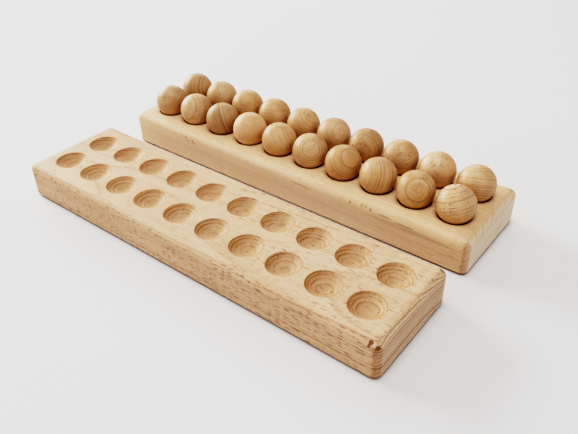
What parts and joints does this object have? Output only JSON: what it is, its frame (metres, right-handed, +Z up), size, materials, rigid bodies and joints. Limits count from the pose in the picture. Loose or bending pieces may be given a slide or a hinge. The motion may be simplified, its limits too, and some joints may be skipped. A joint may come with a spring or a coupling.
{
  "type": "mancala board",
  "caption": "Pair of oblong beech trays with two rows of shallow round hollows each, and turned wooden balls resting in the hollows of one tray.",
  "frame": {"origin": "on the table top, under the middle of the whole set's box", "axes": "+X along both trays' length, +Y across from the empty front tray to the loaded back tray, +Z up"},
  "size_m": [0.29, 0.1736, 0.0453],
  "materials": {
    "front_tray_wood": "pale beech, sanded and lightly oiled, open pores",
    "back_tray_wood": "honey-toned beech, sanded and lightly oiled",
    "ball_wood": "turned beech, smooth satin oil"
  },
  "bodies": {
    "back_tray": {"back_tray": "back_tray_wood"},
    "front_tray": {"front_tray": "front_tray_wood"},
    "ball_near_01": {"ball_near_01": "ball_wood"},
    "ball_near_02": {"ball_near_02": "ball_wood"},
    "ball_near_03": {"ball_near_03": "ball_wood"},
    "ball_near_04": {"ball_near_04": "ball_wood"},
    "ball_near_05": {"ball_near_05": "ball_wood"},
    "ball_near_06": {"ball_near_06": "ball_wood"},
    "ball_near_07": {"ball_near_07": "ball_wood"},
    "ball_near_08": {"ball_near_08": "ball_wood"},
    "ball_near_09": {"ball_near_09": "ball_wood"},
    "ball_near_10": {"ball_near_10": "ball_wood"},
    "ball_far_01": {"ball_far_01": "ball_wood"},
    "ball_far_02": {"ball_far_02": "ball_wood"},
    "ball_far_03": {"ball_far_03": "ball_wood"},
    "ball_far_04": {"ball_far_04": "ball_wood"},
    "ball_far_05": {"ball_far_05": "ball_wood"},
    "ball_far_06": {"ball_far_06": "ball_wood"},
    "ball_far_07": {"ball_far_07": "ball_wood"},
    "ball_far_08": {"ball_far_08": "ball_wood"},
    "ball_far_09": {"ball_far_09": "ball_wood"},
    "ball_far_10": {"ball_far_10": "ball_wood"}
  },
  "joints": [
    {"name": "front_tray_slide", "type": "slide", "parent": "back_tray", "child": "front_tray", "axis": [0, -1, 0], "range_m": [-0.0255, 0.1]},
    {"name": "ball_near_01_lift", "type": "slide", "parent": "back_tray", "child": "ball_near_01", "axis": [0, 0, 1], "range_m": [0, 0.04]},
    {"name": "ball_near_02_lift", "type": "slide", "parent": "back_tray", "child": "ball_near_02", "axis": [0, 0, 1], "range_m": [0, 0.04]},
    {"name": "ball_near_03_lift", "type": "slide", "parent": "back_tray", "child": "ball_near_03", "axis": [0, 0, 1], "range_m": [0, 0.04]},
    {"name": "ball_near_04_lift", "type": "slide", "parent": "back_tray", "child": "ball_near_04", "axis": [0, 0, 1], "range_m": [0, 0.04]},
    {"name": "ball_near_05_lift", "type": "slide", "parent": "back_tray", "child": "ball_near_05", "axis": [0, 0, 1], "range_m": [0, 0.04]},
    {"name": "ball_near_06_lift", "type": "slide", "parent": "back_tray", "child": "ball_near_06", "axis": [0, 0, 1], "range_m": [0, 0.04]},
    {"name": "ball_near_07_lift", "type": "slide", "parent": "back_tray", "child": "ball_near_07", "axis": [0, 0, 1], "range_m": [0, 0.04]},
    {"name": "ball_near_08_lift", "type": "slide", "parent": "back_tray", "child": "ball_near_08", "axis": [0, 0, 1], "range_m": [0, 0.04]},
    {"name": "ball_near_09_lift", "type": "slide", "parent": "back_tray", "child": "ball_near_09", "axis": [0, 0, 1], "range_m": [0, 0.04]},
    {"name": "ball_near_10_lift", "type": "slide", "parent": "back_tray", "child": "ball_near_10", "axis": [0, 0, 1], "range_m": [0, 0.04]},
    {"name": "ball_far_01_lift", "type": "slide", "parent": "back_tray", "child": "ball_far_01", "axis": [0, 0, 1], "range_m": [0, 0.04]},
    {"name": "ball_far_02_lift", "type": "slide", "parent": "back_tray", "child": "ball_far_02", "axis": [0, 0, 1], "range_m": [0, 0.04]},
    {"name": "ball_far_03_lift", "type": "slide", "parent": "back_tray", "child": "ball_far_03", "axis": [0, 0, 1], "range_m": [0, 0.04]},
    {"name": "ball_far_04_lift", "type": "slide", "parent": "back_tray", "child": "ball_far_04", "axis": [0, 0, 1], "range_m": [0, 0.04]},
    {"name": "ball_far_05_lift", "type": "slide", "parent": "back_tray", "child": "ball_far_05", "axis": [0, 0, 1], "range_m": [0, 0.04]},
    {"name": "ball_far_06_lift", "type": "slide", "parent": "back_tray", "child": "ball_far_06", "axis": [0, 0, 1], "range_m": [0, 0.04]},
    {"name": "ball_far_07_lift", "type": "slide", "parent": "back_tray", "child": "ball_far_07", "axis": [0, 0, 1], "range_m": [0, 0.04]},
    {"name": "ball_far_08_lift", "type": "slide", "parent": "back_tray", "child": "ball_far_08", "axis": [0, 0, 1], "range_m": [0, 0.04]},
    {"name": "ball_far_09_lift", "type": "slide", "parent": "back_tray", "child": "ball_far_09", "axis": [0, 0, 1], "range_m": [0, 0.04]},
    {"name": "ball_far_10_lift", "type": "slide", "parent": "back_tray", "child": "ball_far_10", "axis": [0, 0, 1], "range_m": [0, 0.04]}
  ]
}
